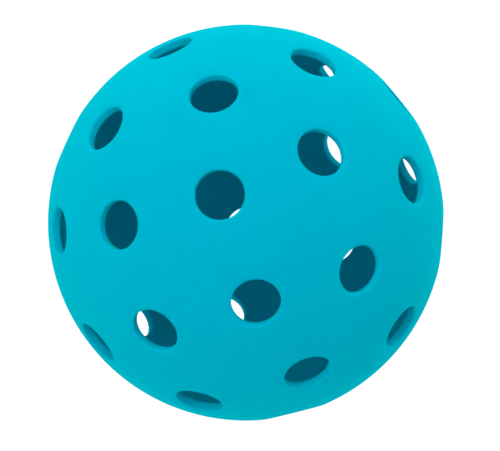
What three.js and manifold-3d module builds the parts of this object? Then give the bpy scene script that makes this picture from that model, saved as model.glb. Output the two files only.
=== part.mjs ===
// Pickleball: a hollow perforated ball, built as it is made. Two identical half shells are moulded with
// twenty round holes each. One of them is turned over, and turned about the axis so that its holes fall
// between those of the other. The two rims are then welded together at the equator.
//
// Units are millimetres. The origin is the centre of the ball and +Z is the moulding axis, through the
// two poles. The weld lies in the plane z = 0.

import * as THREE from 'three';
import { mergeVertices } from 'three/addons/utils/BufferGeometryUtils.js';
import Module from 'manifold-3d';

// Ball and wall
const BALL_DIAMETER = 74;
const WALL = 1.9;

// Holes: straight bores that point at the centre of the ball. The outer edge is rounded, and the rounding
// is wider than it is deep.
const HOLE_DIAMETER = 8.6;
const EDGE_WIDTH = 1;
const EDGE_DEPTH = 0.5;
const HOLE_RINGS = [
  { polar: 22.3, count: 4, first: 45 },
  { polar: 50.3, count: 8, first: 22.5 },
  { polar: 76.6, count: 8, first: 0 },
];
const LOWER_SHELL_TURN = 23;

// Weld: a band through the wall, and the bead of melt that stays on the inner side
const WELD_HEIGHT = 1.2;
const BEAD_HEIGHT = 3;
const BEAD_THICKNESS = 0.6;
const CLEARANCE = 0.3;

// Facets
const SHELL_SEGMENTS = 32;
const SHELL_STEPS = 8;
const HOLE_SIDES = 16;

const OUTER_RADIUS = BALL_DIAMETER / 2;
const INNER_RADIUS = OUTER_RADIUS - WALL;
const HOLE_RADIUS = HOLE_DIAMETER / 2;

const wasm = await Module();
wasm.setup();

const radians = THREE.MathUtils.degToRad;

// A closed three.js geometry as a solid that can be joined and cut.
function toSolid(geometry) {
  const bare = geometry.clone();
  bare.deleteAttribute('normal');
  bare.deleteAttribute('uv');
  const merged = mergeVertices(bare);
  return new wasm.Manifold(new wasm.Mesh({
    numProp: 3,
    vertProperties: Float32Array.from(merged.attributes.position.array),
    triVerts: Uint32Array.from(merged.index.array),
  }));
}

// A solid as a three.js geometry.
function toGeometry(solid) {
  const mesh = solid.getMesh();
  const geometry = new THREE.BufferGeometry();
  geometry.setAttribute('position', new THREE.BufferAttribute(mesh.vertProperties, 3));
  geometry.setIndex(new THREE.BufferAttribute(mesh.triVerts, 1));
  geometry.computeVertexNormals();
  return geometry;
}

// Turns a profile of (radius, height) points about the Z axis. LatheGeometry turns about Y.
function turned(profile, segments) {
  return new THREE.LatheGeometry(profile, segments).rotateX(Math.PI / 2);
}

// The arc of a sphere from its top down to the height where it meets the rim of a half shell.
function sphereArc(radius, rimHeight) {
  const lowest = Math.acos(rimHeight / radius);
  return Array.from({ length: SHELL_STEPS + 1 }, (_, step) => {
    const polar = (lowest * step) / SHELL_STEPS;
    return new THREE.Vector2(radius * Math.sin(polar), radius * Math.cos(polar));
  });
}

// A half shell before its holes: up the inner sphere to the pole and down the outer one to the rim.
function blankHalfShell() {
  const rimHeight = WELD_HEIGHT / 2 + CLEARANCE;
  const outer = sphereArc(OUTER_RADIUS, rimHeight);
  const inner = sphereArc(INNER_RADIUS, rimHeight).reverse();
  outer[0].x = 0;
  inner[SHELL_STEPS].x = 0;
  const profile = [...inner, ...outer, inner[0]].reverse();
  return toSolid(turned(profile, SHELL_SEGMENTS));
}

// The plastic that one hole takes away, standing on the Z axis. One sloping facet stands for the rounded
// edge, from the bore up to the outer sphere. The plug goes on along that slope until it is clear of the
// sphere.
function holePlug() {
  const edgeRadius = HOLE_RADIUS + EDGE_WIDTH;
  const onSphere = new THREE.Vector2(edgeRadius, Math.sqrt(OUTER_RADIUS ** 2 - edgeRadius ** 2));
  const onBore = new THREE.Vector2(HOLE_RADIUS, onSphere.y - EDGE_DEPTH);
  const clear = onSphere.clone().lerp(onBore, -1);
  const bottom = INNER_RADIUS - WALL;
  const profile = [
    new THREE.Vector2(0, bottom),
    new THREE.Vector2(HOLE_RADIUS, bottom),
    onBore,
    clear,
    new THREE.Vector2(0, clear.y),
  ];
  return turned(profile, HOLE_SIDES);
}

// One moulding: the blank half shell with its rings of holes.
function halfShell() {
  const plug = holePlug();
  let shell = blankHalfShell();
  for (const ring of HOLE_RINGS) {
    for (let hole = 0; hole < ring.count; hole += 1) {
      const azimuth = radians(ring.first + (360 * hole) / ring.count);
      const placed = plug.clone().rotateY(radians(ring.polar)).rotateZ(azimuth);
      shell = shell.subtract(toSolid(placed));
    }
  }
  return toGeometry(shell);
}

// The weld: a ring flush with the outer sphere, whose inner side spreads into the bead.
function weldBand() {
  const web = WELD_HEIGHT / 2;
  const bead = BEAD_HEIGHT / 2;
  const beadOuter = INNER_RADIUS - CLEARANCE;
  const beadInner = beadOuter - BEAD_THICKNESS;
  const profile = [
    new THREE.Vector2(beadOuter, web),
    new THREE.Vector2(beadOuter, bead),
    new THREE.Vector2(beadInner, web),
    new THREE.Vector2(beadInner, -web),
    new THREE.Vector2(beadOuter, -bead),
    new THREE.Vector2(beadOuter, -web),
    new THREE.Vector2(OUTER_RADIUS, -web),
    new THREE.Vector2(OUTER_RADIUS, web),
  ];
  profile.push(profile[0]);
  return turned(profile, SHELL_SEGMENTS);
}

const shellPlastic = new THREE.MeshStandardMaterial({ color: '#00b9cd', roughness: 0.5, metalness: 0 });
const weldPlastic = new THREE.MeshStandardMaterial({ color: '#00aec2', roughness: 0.55, metalness: 0 });

const moulding = halfShell();

const upperShell = new THREE.Mesh(moulding, shellPlastic);
upperShell.name = 'upper_shell';

// Turned about its own axis first, then turned over.
const lowerShell = new THREE.Mesh(moulding, shellPlastic.clone());
lowerShell.name = 'lower_shell';
lowerShell.rotation.set(Math.PI, 0, radians(LOWER_SHELL_TURN));

const weld = new THREE.Mesh(weldBand(), weldPlastic);
weld.name = 'weld_band';

const ball = new THREE.Group();
ball.add(upperShell, lowerShell, weld);

export default ball;
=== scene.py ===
# %% [markdown]
# # A pickleball ball
# The real object is a hollow ball of tough plastic, 74 mm across, with forty round holes through its
# wall. It is moulded as two identical half shells. One is turned over and turned about the axis by about
# half the spacing of its holes, and then welded to the other along the equator.
#
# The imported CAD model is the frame: it fixes where the ball is and how big it is. Its solids have flat
# facets, so this lesson makes fine meshes that stand for the same three pieces.

# %% Load the frame
import math

import bpy
from mathutils import Euler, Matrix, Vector
from mathutils.geometry import delaunay_2d_cdt


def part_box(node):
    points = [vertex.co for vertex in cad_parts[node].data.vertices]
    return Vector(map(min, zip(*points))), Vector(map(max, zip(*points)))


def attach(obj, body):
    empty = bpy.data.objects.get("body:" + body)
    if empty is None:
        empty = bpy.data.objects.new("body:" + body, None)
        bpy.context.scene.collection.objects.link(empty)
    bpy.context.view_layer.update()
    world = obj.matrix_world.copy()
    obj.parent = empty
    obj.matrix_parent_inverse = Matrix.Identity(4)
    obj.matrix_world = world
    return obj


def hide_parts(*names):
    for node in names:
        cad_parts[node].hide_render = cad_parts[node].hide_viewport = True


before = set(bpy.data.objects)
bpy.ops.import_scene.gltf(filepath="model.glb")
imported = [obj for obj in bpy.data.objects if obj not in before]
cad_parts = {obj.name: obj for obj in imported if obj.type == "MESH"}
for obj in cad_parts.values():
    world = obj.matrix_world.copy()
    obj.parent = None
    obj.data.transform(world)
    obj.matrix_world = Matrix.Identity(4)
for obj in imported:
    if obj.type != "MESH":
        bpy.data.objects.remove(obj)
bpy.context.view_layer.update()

print("pieces in the frame:", sorted(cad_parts))

# %% [markdown]
# ## Sizes
# Blender works in metres, and the sizes of a moulding are easier to read in millimetres, so `MM` turns
# one into the other. The outer radius is read from the frame. The wall, the holes and the weld are the
# design's own driving sizes, the same as in the CAD part. The CAD part has one sloping facet where the
# outer edge of a hole is steepest. Here both edges of a hole are rounded smoothly, so they need a width
# and a depth of their own.

# %% Sizes
MM = 0.001
OUTER_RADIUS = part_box("weld_band")[1].x
WALL = 1.9 * MM
INNER_RADIUS = OUTER_RADIUS - WALL
HOLE_RADIUS = 4.3 * MM
OUTER_EDGE_WIDTH = 2.2 * MM
OUTER_EDGE_DEPTH = 0.5 * MM
INNER_EDGE_WIDTH = 0.9 * MM
INNER_EDGE_DEPTH = 0.4 * MM

# Each ring of holes in one half shell: angle from the pole, number of holes, azimuth of the first.
HOLE_RINGS = (
    (math.radians(22.3), 4, math.radians(45.0)),
    (math.radians(50.3), 8, math.radians(22.5)),
    (math.radians(76.6), 8, math.radians(0.0)),
)
LOWER_SHELL_TURN = math.radians(23.0)

WELD_HALF_HEIGHT = 0.6 * MM
print(f"outer radius {OUTER_RADIUS / MM:.2f} mm, wall {WALL / MM:.2f} mm")

# %% [markdown]
# ## Two small helpers
# Colours are picked as sRGB hex values, as on a paint chart, but a shader works in linear light, so one
# function converts them. Another adds a node to any tree, shader or geometry, sets its properties, and
# fills its inputs: a socket is linked, and anything else is set as the value.


# %% Helpers for colours and nodes
def linear(hex_colour):
    """A colour such as "00b3d2" as linear RGBA."""
    channels = [int(hex_colour[i : i + 2], 16) / 255 for i in (0, 2, 4)]
    light = [c / 12.92 if c <= 0.04045 else ((c + 0.055) / 1.055) ** 2.4 for c in channels]
    return (*light, 1.0)


def add(tree, kind, settings=None, inputs=None):
    """Adds a node of that kind to the tree, with its settings and its linked or set inputs."""
    node = tree.nodes.new(kind)
    for name, value in (settings or {}).items():
        setattr(node, name, value)
    for name, value in (inputs or {}).items():
        if isinstance(value, bpy.types.NodeSocket):
            tree.links.new(value, node.inputs[name])
        else:
            node.inputs[name].default_value = value
    return node


# %% [markdown]
# ## Moulded polyethylene
# The ball is polyethylene, coloured right through and moulded in a fine-spark-finished steel mould. To
# the eye that is an even, saturated colour with a broad, soft sheen and no sharp reflections.
#
# Three things keep it from looking like flat paint. The pigment is stirred into the melt, so the tone,
# and the roughness with it, drifts by a hair over a few millimetres. The mould's skin leaves a grain of
# about a quarter of a millimetre, and the plastic shrinks unevenly as it cools, which leaves a faint
# orange peel.
#
# Polyethylene has an index of refraction near 1.52. Its grain scatters the reflection so widely that
# nothing mirror-like is left, so the mirror part is off and a thin sheen in the plastic's own colour
# takes its place. Light also travels a few tenths of a millimetre through the plastic before it comes out
# again. That softens the edges of the holes, and lets the edges that face the light glow.


# %% The plastic
PIGMENT = linear("00b6cf")
PIGMENT_DEEP = linear("00b0c9")
TONE_DRIFT = 9 * MM
GRAIN = 0.28 * MM
ORANGE_PEEL = 2.4 * MM
ROUGHNESS_DRIFT = 0.04
GRAIN_DEPTH = 0.02 * MM
PEEL_DEPTH = 0.05 * MM
LIGHT_TRAVEL = 0.3 * MM


def moulded_polyethylene(name, roughness):
    """Polyethylene with drifting tone and roughness, mould grain and orange peel."""
    material = bpy.data.materials.new(name)
    material.use_nodes = True
    tree = material.node_tree
    tree.nodes.clear()
    place = add(tree, "ShaderNodeTexCoord").outputs["Object"]

    def noise(size, detail):
        settings = {"noise_dimensions": "3D"}
        values = {"Vector": place, "Scale": 1 / size, "Detail": detail, "Roughness": 0.55}
        return add(tree, "ShaderNodeTexNoise", settings, values).outputs["Fac"]

    drift = noise(TONE_DRIFT, 3.0)
    grain = noise(GRAIN, 1.0)
    peel = noise(ORANGE_PEEL, 1.0)
    colour = add(
        tree,
        "ShaderNodeMix",
        {"data_type": "RGBA"},
        {"Factor": drift, "A": PIGMENT_DEEP, "B": PIGMENT},
    ).outputs["Result"]
    uneven_roughness = add(
        tree,
        "ShaderNodeMapRange",
        None,
        {
            "Value": drift,
            "From Min": 0.3,
            "From Max": 0.7,
            "To Min": roughness - ROUGHNESS_DRIFT,
            "To Max": roughness + ROUGHNESS_DRIFT,
        },
    ).outputs["Result"]
    grained = add(
        tree,
        "ShaderNodeBump",
        None,
        {"Strength": 0.10, "Distance": GRAIN_DEPTH, "Height": grain},
    )
    peeled = add(
        tree,
        "ShaderNodeBump",
        None,
        {
            "Strength": 0.12,
            "Distance": PEEL_DEPTH,
            "Height": peel,
            "Normal": grained.outputs["Normal"],
        },
    )
    shader = add(
        tree,
        "ShaderNodeBsdfPrincipled",
        {"subsurface_method": "RANDOM_WALK"},
        {
            "Base Color": colour,
            "Roughness": uneven_roughness,
            "IOR": 1.52,
            "Specular IOR Level": 0.0,
            "Sheen Weight": 0.04,
            "Sheen Roughness": 0.5,
            "Sheen Tint": linear("00fff2"),
            "Subsurface Weight": 1.0,
            "Subsurface Radius": (1.0, 1.0, 1.0),
            "Subsurface Scale": LIGHT_TRAVEL,
            "Normal": peeled.outputs["Normal"],
        },
    )
    add(tree, "ShaderNodeOutputMaterial", None, {"Surface": shader.outputs["BSDF"]})
    return material


shell_plastic = moulded_polyethylene("polyethylene_moulded_teal", 0.5)
weld_plastic = moulded_polyethylene("polyethylene_welded_teal", 0.53)
print("plastics:", shell_plastic.name, "and", weld_plastic.name)

# %% [markdown]
# ## The skin of a half shell
# A half shell is two skins, the outer and the inner side of the wall, joined at the holes and at the
# rim. Cutting holes in a sphere with booleans leaves slivers beside each cut, and smooth shading shows
# every one of them. So the skin is triangulated with its holes already in it.
#
# The trick is the stereographic projection, which flattens a hemisphere to a disc and keeps every
# circle a circle. Points go round each hole, round the rim and evenly in between. Blender's 2D Delaunay
# triangulation joins the flattened points, and the same triangles are the best ones on the sphere.

# %% Points and triangles of a skin
HOLE_SIDES = 64
RIM_SIDES = 256
SPACING = 1.0 * MM
RINGS_ROUND_HOLE = 3
RING_GAP = 0.6 * SPACING
RIM_GAP = 0.7 * SPACING


def hole_turns():
    """The rotation that carries each hole from the pole to its place."""
    for polar, count, first in HOLE_RINGS:
        for index in range(count):
            azimuth = first + index * math.tau / count
            yield Euler((0, polar, azimuth)).to_matrix()


def circle(angle, sides, shift=0.0):
    """Points of a circle round the pole, at that angle from it, on the unit sphere."""
    for side in range(sides):
        azimuth = (side + shift) * math.tau / sides
        flat = math.sin(angle)
        yield Vector((flat * math.cos(azimuth), flat * math.sin(azimuth), math.cos(angle)))


def spiral(rim_angle, step):
    """Evenly spread points from the pole down to the rim: a spiral turned by the golden angle."""
    golden_angle = math.pi * (3 - math.sqrt(5))
    drop = step * step * math.sqrt(3) / 4 / math.pi
    for index in range(int((1 - math.cos(rim_angle)) / drop)):
        height = 1 - (index + 0.5) * drop
        flat = math.sqrt(1 - height * height)
        azimuth = index * golden_angle
        yield Vector((flat * math.cos(azimuth), flat * math.sin(azimuth), height))


def skin(radius, hole_angle, rim_angle):
    """The vertices and triangles of a perforated half sphere. The rim's points come first."""
    points = list(circle(rim_angle, RIM_SIDES))
    owner = [None] * RIM_SIDES
    turns = list(hole_turns())
    for hole, turn in enumerate(turns):
        for ring in range(RINGS_ROUND_HOLE):
            angle = hole_angle + ring * RING_GAP / radius
            points += [turn @ p for p in circle(angle, HOLE_SIDES, 0.5 * ring)]
            owner += [hole if ring == 0 else None] * HOLE_SIDES
    clear_of_hole = math.cos(hole_angle + RINGS_ROUND_HOLE * RING_GAP / radius)
    clear_of_rim = math.cos(rim_angle - RIM_GAP / radius)
    axes = [turn @ Vector((0, 0, 1)) for turn in turns]
    for p in spiral(rim_angle, SPACING / radius):
        if p.z > clear_of_rim and all(p.dot(axis) < clear_of_hole for axis in axes):
            points.append(p)
            owner.append(None)
    flattened = [Vector((p.x, p.y)) / (1 + p.z) for p in points]
    tiny = 1e-9
    _, _, faces, origin, _, _ = delaunay_2d_cdt(flattened, [], [], 0, tiny)
    triangles = []
    for face in faces:
        corners = [origin[v][0] for v in face]
        owners = {owner[c] for c in corners}
        if len(owners) > 1 or None in owners:
            triangles.append(corners)
    return [p * radius for p in points], triangles


# %% [markdown]
# ## The wall of one hole
# Each hole is a straight bore that points at the centre of the ball. Its edges are rounded: the outer
# one widely, so that it doesn't hurt the hand, and the inner one less. Each rounding is wider than it is
# deep. In section it is a curve that leaves the skin without a kink and runs into the bore without one.
# A quadratic Bezier does that when its middle point lies where the two tangents cross.
#
# One such ring of wall is turned on the pole. It has as many corners all round as the skin's holes.

# %% The ring of wall
EDGE_STEPS = 10
outer_hole_angle = math.asin((HOLE_RADIUS + OUTER_EDGE_WIDTH) / OUTER_RADIUS)
inner_hole_angle = math.asin((HOLE_RADIUS + INNER_EDGE_WIDTH) / INNER_RADIUS)


def rounded_edge(radius, hole_angle, depth):
    """A rounded edge in section, from a skin to the bore, as (distance from the axis, height)."""
    skin_end = Vector((math.sin(hole_angle), math.cos(hole_angle))) * radius
    crossing = skin_end.y + (skin_end.x - HOLE_RADIUS) * math.tan(hole_angle)
    tangents_cross = Vector((HOLE_RADIUS, crossing))
    bore_end = Vector((HOLE_RADIUS, crossing + depth))
    for step in range(EDGE_STEPS + 1):
        t = step / EDGE_STEPS
        yield (1 - t) ** 2 * skin_end + 2 * t * (1 - t) * tangents_cross + t**2 * bore_end


def hole_profile():
    """The section of the wall of a hole, from the outer skin to the inner one."""
    yield from rounded_edge(OUTER_RADIUS, outer_hole_angle, -OUTER_EDGE_DEPTH)
    yield from reversed(list(rounded_edge(INNER_RADIUS, inner_hole_angle, INNER_EDGE_DEPTH)))


def turned(profile, sides, closed=False):
    """The vertices and faces of a section turned about the Z axis, its right-hand side facing out."""
    profile = list(profile)
    points = []
    for flat, height in profile:
        for side in range(sides):
            azimuth = side * math.tau / sides
            points.append(Vector((flat * math.cos(azimuth), flat * math.sin(azimuth), height)))
    faces = []
    rows = len(profile)
    for row in range(rows if closed else rows - 1):
        below = (row + 1) % rows
        for side in range(sides):
            after = (side + 1) % sides
            faces.append(
                (row * sides + side, row * sides + after, below * sides + after, below * sides + side)
            )
    return points, faces


def mesh_object(name, points, faces):
    """A new object in the scene with that mesh."""
    mesh = bpy.data.meshes.new(name)
    mesh.from_pydata(points, [], faces)
    mesh.validate()
    thing = bpy.data.objects.new(name, mesh)
    bpy.context.scene.collection.objects.link(thing)
    return thing


hole_wall = mesh_object("hole_wall", *turned(hole_profile(), HOLE_SIDES))
print(f"the wall of a hole has {len(hole_wall.data.polygons)} faces")

# %% [markdown]
# ## The skins, joined at the rim
# The outer skin keeps its winding, and the inner one is wound the other way, so that both face away
# from the plastic. A strip of faces between their two rims is the flat face that gets welded.

# %% Both skins of a half shell
outer_points, outer_faces = skin(
    OUTER_RADIUS, outer_hole_angle, math.acos(WELD_HALF_HEIGHT / OUTER_RADIUS)
)
inner_points, inner_faces = skin(
    INNER_RADIUS, inner_hole_angle, math.acos(WELD_HALF_HEIGHT / INNER_RADIUS)
)
first_inner = len(outer_points)
faces = list(outer_faces)
faces += [tuple(first_inner + c for c in reversed(corners)) for corners in inner_faces]
for side in range(RIM_SIDES):
    after = (side + 1) % RIM_SIDES
    faces.append((after, side, first_inner + side, first_inner + after))
skins = mesh_object("skins", outer_points + inner_points, faces)
print(f"both skins have {len(skins.data.polygons)} faces")

# %% [markdown]
# ## Rings of holes, by Geometry Nodes
# The holes follow a rule: they sit in rings round the moulding axis, four near the pole, then eight and
# eight. A node group makes one ring. It takes the wall of a hole, and turns a copy of it to each place
# in the ring: down by the ring's angle from the pole, and round by its share of the circle.


# %% One ring of holes
def ring_group():
    """A node group that copies the wall of a hole round the axis."""
    tree = bpy.data.node_groups.new("ring_of_holes", "GeometryNodeTree")
    face = tree.interface
    face.new_socket("Hole wall", in_out="INPUT", socket_type="NodeSocketGeometry")
    face.new_socket("Angle from pole", in_out="INPUT", socket_type="NodeSocketFloat")
    face.new_socket("Holes", in_out="INPUT", socket_type="NodeSocketInt")
    face.new_socket("First azimuth", in_out="INPUT", socket_type="NodeSocketFloat")
    face.new_socket("Ring", in_out="OUTPUT", socket_type="NodeSocketGeometry")
    given = add(tree, "NodeGroupInput").outputs
    places = add(tree, "GeometryNodePoints", None, {"Count": given["Holes"]})
    share = add(tree, "ShaderNodeMath", {"operation": "DIVIDE"}, {0: math.tau, 1: given["Holes"]})
    index = add(tree, "GeometryNodeInputIndex")
    azimuth = add(
        tree,
        "ShaderNodeMath",
        {"operation": "MULTIPLY_ADD"},
        {0: index.outputs[0], 1: share.outputs[0], 2: given["First azimuth"]},
    )
    turn = add(
        tree, "ShaderNodeCombineXYZ", None, {"Y": given["Angle from pole"], "Z": azimuth.outputs[0]}
    )
    rotation = add(tree, "FunctionNodeEulerToRotation", None, {"Euler": turn.outputs[0]})
    copies = add(
        tree,
        "GeometryNodeInstanceOnPoints",
        None,
        {
            "Points": places.outputs[0],
            "Instance": given["Hole wall"],
            "Rotation": rotation.outputs[0],
        },
    )
    add(tree, "NodeGroupOutput", None, {"Ring": copies.outputs[0]})
    return tree


ring_of_holes = ring_group()
print(f"the group for one ring has {len(ring_of_holes.nodes)} nodes")

# %% [markdown]
# The tree of a whole half shell uses that group three times. It joins the rings to the skins, merges
# the corners that now lie on each other, turns the finished shell to its place, and keeps the edges of
# its welded rim sharp. The same tree makes both halves, with one input changed.


# %% The tree of a half shell
def half_shell_tree():
    """The Geometry Nodes tree that makes a half shell from its skins and the wall of one hole."""
    tree = bpy.data.node_groups.new("half_shell", "GeometryNodeTree")
    face = tree.interface
    face.new_socket("Skins", in_out="INPUT", socket_type="NodeSocketGeometry")
    face.new_socket("Hole wall", in_out="INPUT", socket_type="NodeSocketObject")
    for number in range(1, len(HOLE_RINGS) + 1):
        face.new_socket(f"Ring {number} angle", in_out="INPUT", socket_type="NodeSocketFloat")
        face.new_socket(f"Ring {number} holes", in_out="INPUT", socket_type="NodeSocketInt")
        face.new_socket(f"Ring {number} azimuth", in_out="INPUT", socket_type="NodeSocketFloat")
    face.new_socket("Turn", in_out="INPUT", socket_type="NodeSocketVector")
    face.new_socket("Merge distance", in_out="INPUT", socket_type="NodeSocketFloat")
    face.new_socket("Sharp angle", in_out="INPUT", socket_type="NodeSocketFloat")
    face.new_socket("Plastic", in_out="INPUT", socket_type="NodeSocketMaterial")
    face.new_socket("Half shell", in_out="OUTPUT", socket_type="NodeSocketGeometry")
    given = add(tree, "NodeGroupInput").outputs
    wall = add(tree, "GeometryNodeObjectInfo", None, {"Object": given["Hole wall"]})
    joined = add(tree, "GeometryNodeJoinGeometry")
    tree.links.new(given["Skins"], joined.inputs[0])
    for number in range(1, len(HOLE_RINGS) + 1):
        ring = add(
            tree,
            "GeometryNodeGroup",
            {"node_tree": ring_of_holes},
            {
                "Hole wall": wall.outputs["Geometry"],
                "Angle from pole": given[f"Ring {number} angle"],
                "Holes": given[f"Ring {number} holes"],
                "First azimuth": given[f"Ring {number} azimuth"],
            },
        )
        tree.links.new(ring.outputs[0], joined.inputs[0])
    real = add(tree, "GeometryNodeRealizeInstances", None, {"Geometry": joined.outputs[0]})
    merged = add(
        tree,
        "GeometryNodeMergeByDistance",
        None,
        {"Geometry": real.outputs[0], "Distance": given["Merge distance"]},
    )
    placed = add(
        tree,
        "GeometryNodeTransform",
        None,
        {"Geometry": merged.outputs[0], "Rotation": given["Turn"]},
    )
    bend = add(tree, "GeometryNodeInputMeshEdgeAngle")
    gentle = add(
        tree,
        "FunctionNodeCompare",
        {"data_type": "FLOAT", "operation": "LESS_THAN"},
        {0: bend.outputs["Unsigned Angle"], 1: given["Sharp angle"]},
    )
    faces_smooth = add(tree, "GeometryNodeSetShadeSmooth", None, {"Geometry": placed.outputs[0]})
    edges_smooth = add(
        tree,
        "GeometryNodeSetShadeSmooth",
        {"domain": "EDGE"},
        {"Geometry": faces_smooth.outputs[0], "Shade Smooth": gentle.outputs[0]},
    )
    made = add(
        tree,
        "GeometryNodeSetMaterial",
        None,
        {"Geometry": edges_smooth.outputs[0], "Material": given["Plastic"]},
    )
    add(tree, "NodeGroupOutput", None, {"Half shell": made.outputs[0]})
    return tree


half_shell = half_shell_tree()
print(f"the tree for a half shell has {len(half_shell.nodes)} nodes")


# %% [markdown]
# ## Making the two half shells
# The modifier is added to an object that holds the skins, its inputs are set by their identifiers, and
# the evaluated result is copied into a plain mesh. The upper shell stays as it is moulded. The lower
# one is turned over, and then turned about the axis so that its holes fall between the upper ones.


# %% Run the tree
SHARP_ANGLE = math.radians(40)
MERGE_DISTANCE = 0.005 * MM


def run_tree(source, tree, values, name):
    """The result of a Geometry Nodes tree on the source object, as a new plain object."""
    modifier = source.modifiers.new(tree.name, "NODES")
    modifier.node_group = tree
    for item in tree.interface.items_tree:
        if item.in_out == "INPUT" and item.name in values:
            modifier[item.identifier] = values[item.name]
    evaluated = source.evaluated_get(bpy.context.evaluated_depsgraph_get())
    mesh = bpy.data.meshes.new_from_object(evaluated)
    mesh.name = name
    source.modifiers.remove(modifier)
    thing = bpy.data.objects.new(name, mesh)
    bpy.context.scene.collection.objects.link(thing)
    return thing


def make_half_shell(name, turn):
    """One half shell, turned to its place."""
    values = {
        "Hole wall": hole_wall,
        "Turn": turn,
        "Merge distance": MERGE_DISTANCE,
        "Sharp angle": SHARP_ANGLE,
        "Plastic": shell_plastic,
    }
    for number, (polar, count, first) in enumerate(HOLE_RINGS, 1):
        values[f"Ring {number} angle"] = polar
        values[f"Ring {number} holes"] = count
        values[f"Ring {number} azimuth"] = first
    return run_tree(skins, half_shell, values, name)


def open_edges(thing):
    """How many edges don't have exactly two faces. A closed piece has none."""
    uses = [0] * len(thing.data.edges)
    for loop in thing.data.loops:
        uses[loop.edge_index] += 1
    return sum(count != 2 for count in uses)


upper = make_half_shell("upper_shell_moulding", (0.0, 0.0, 0.0))
lower = make_half_shell("lower_shell_moulding", (math.pi, 0.0, -LOWER_SHELL_TURN))
for shell in (upper, lower):
    print(f"{shell.name}: {len(shell.data.polygons)} faces, {open_edges(shell)} open edges")
for helper in (skins, hole_wall):
    bpy.data.objects.remove(helper)

# %% [markdown]
# ## The weld
# Butt welding melts the two rims and presses them together. What is squeezed out is trimmed flush on
# the outside. On the inside nobody can reach it, so it stays as a pair of small rolls of melt. The
# section is drawn once and turned about the axis.

# %% The weld band
ROLL_RADIUS = 0.5 * MM
ROLL_HEIGHT = 0.4 * MM
ROLL_STEPS = 8


def weld_profile():
    """The section of the weld, down the outside and up the inside, as (distance from axis, height)."""
    outer_angle = math.asin(WELD_HALF_HEIGHT / OUTER_RADIUS)
    for step in (1, 0.5, 0, -0.5, -1):
        yield OUTER_RADIUS * math.cos(outer_angle * step), OUTER_RADIUS * math.sin(outer_angle * step)
    for centre in (-ROLL_RADIUS, ROLL_RADIUS):
        for step in range(ROLL_STEPS + 1):
            angle = math.pi / 2 - math.pi * (1 - step / ROLL_STEPS)
            yield (
                INNER_RADIUS - ROLL_HEIGHT * math.cos(angle),
                centre + ROLL_RADIUS * math.sin(angle),
            )


weld = mesh_object("weld_seam", *turned(weld_profile(), RIM_SIDES, closed=True))
weld.data.materials.append(weld_plastic)
weld.data.shade_smooth()
weld.data.set_sharp_from_angle(angle=SHARP_ANGLE)
print(f"{weld.name}: {len(weld.data.polygons)} faces, {open_edges(weld)} open edges")

# %% [markdown]
# ## Riding on the frame
# Nothing on the ball moves, so all three pieces ride on the one body, and each takes the place of its CAD
# node, which is hidden.

# %% Tie the pieces to the frame
for piece, node, material_slot in (
    (upper, "upper_shell", "shell"),
    (lower, "lower_shell", "shell"),
    (weld, "weld_band", "weld"),
):
    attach(piece, "root")
    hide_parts(node)

# %% [markdown]
# ## Floor
# The ball lies on a light table: an opal sheet lit from below, which looks an even white. The light comes
# up through the ball too, so wherever two holes line up, white shows through them.

# %% Floor
FLOOR_SIZE = 4.0


def opal_sheet():
    """A matt opal sheet lit from below. It sends most light through, so it reflects little."""
    material = bpy.data.materials.new("opal_sheet_lit_from_below")
    material.use_nodes = True
    shader = material.node_tree.nodes["Principled BSDF"]
    shader.inputs["Base Color"].default_value = linear("6d6d6d")
    shader.inputs["Roughness"].default_value = 0.9
    shader.inputs["Specular IOR Level"].default_value = 0.1
    shader.inputs["Emission Color"].default_value = linear("ffffff")
    shader.inputs["Emission Strength"].default_value = 1.0
    return material


half = FLOOR_SIZE / 2
corners = [(-half, -half), (half, -half), (half, half), (-half, half)]
floor = mesh_object("floor", [(x, y, -OUTER_RADIUS) for x, y in corners], [(0, 1, 2, 3)])
floor.data.materials.append(opal_sheet())
print(f"the light table is {FLOOR_SIZE:.0f} m square and touches the ball at {-OUTER_RADIUS / MM:.0f} mm")

# %% [markdown]
# ## Light
# Three square softboxes and a dim even surround. The large one stands high on one side and gives the ball
# its brighter shoulder. One hangs overhead, and a weak one from the other side keeps the shade open. All
# are wide for so small a ball, so no shadow has a hard edge. Each is set by how bright its face looks,
# with the light table's own white as 1, and its power follows from that and its area.

# %% Light
SOFTBOX_DISTANCE = 0.9
world = bpy.data.worlds.new("studio")
world.use_nodes = True
world.node_tree.nodes["Background"].inputs["Color"].default_value = linear("ffffff")
world.node_tree.nodes["Background"].inputs["Strength"].default_value = 0.25
bpy.context.scene.world = world


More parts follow.
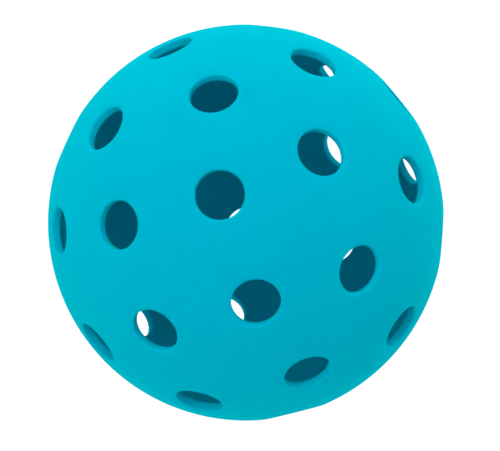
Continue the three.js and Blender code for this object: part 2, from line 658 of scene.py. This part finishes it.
def direction(azimuth, elevation):
    """The unit vector towards an azimuth and elevation in degrees."""
    level = math.cos(math.radians(elevation))
    return Vector(
        (
            level * math.cos(math.radians(azimuth)),
            level * math.sin(math.radians(azimuth)),
            math.sin(math.radians(elevation)),
        )
    )


def softbox(name, azimuth, elevation, size, radiance):
    """A square area light that faces the ball. Its power is worked out from how bright it looks."""
    light = bpy.data.lights.new(name, "AREA")
    light.shape = "SQUARE"
    light.size = size
    light.energy = radiance * math.pi * size * size
    lamp = bpy.data.objects.new(name, light)
    bpy.context.scene.collection.objects.link(lamp)
    lamp.location = direction(azimuth, elevation) * SOFTBOX_DISTANCE
    lamp.rotation_euler = direction(azimuth, elevation).to_track_quat("Z", "Y").to_euler()
    print(f"{name}: {light.energy:.2f} W")


softbox("key_softbox", 237, 50, 0.9, 2.25)
softbox("top_softbox", 0, 85, 0.7, 2.1)
softbox("side_softbox", 45, 15, 0.7, 0.7)

# %% [markdown]
# ## Camera
# The camera looks down on the upper shell from well above, off to one side, and is rolled, so that the
# pole and its four holes sit left of the middle. It stands about five ball widths away, near enough for
# the far holes to look smaller than the near ones.

# %% Camera
CAMERA_AZIMUTH = -162.74
CAMERA_ELEVATION = 68.49
CAMERA_ROLL = -124.78
CAMERA_DISTANCE = 10.249 * OUTER_RADIUS

camera = bpy.data.objects.new("camera", bpy.data.cameras.new("camera"))
bpy.context.scene.collection.objects.link(camera)
camera.location = direction(CAMERA_AZIMUTH, CAMERA_ELEVATION) * CAMERA_DISTANCE
level = Euler((math.radians(90 - CAMERA_ELEVATION), 0, math.radians(CAMERA_AZIMUTH + 90)))
roll = Euler((0, 0, math.radians(CAMERA_ROLL)))
camera.rotation_euler = (level.to_matrix() @ roll.to_matrix()).to_euler()
camera.data.sensor_width = 36
camera.data.lens = 145.51
camera.data.shift_x = 0.0079
camera.data.shift_y = -0.0059
bpy.context.scene.camera = camera
bpy.context.scene.view_settings.view_transform = "Standard"
print(f"the camera is {CAMERA_DISTANCE / MM:.0f} mm from the centre of the ball")
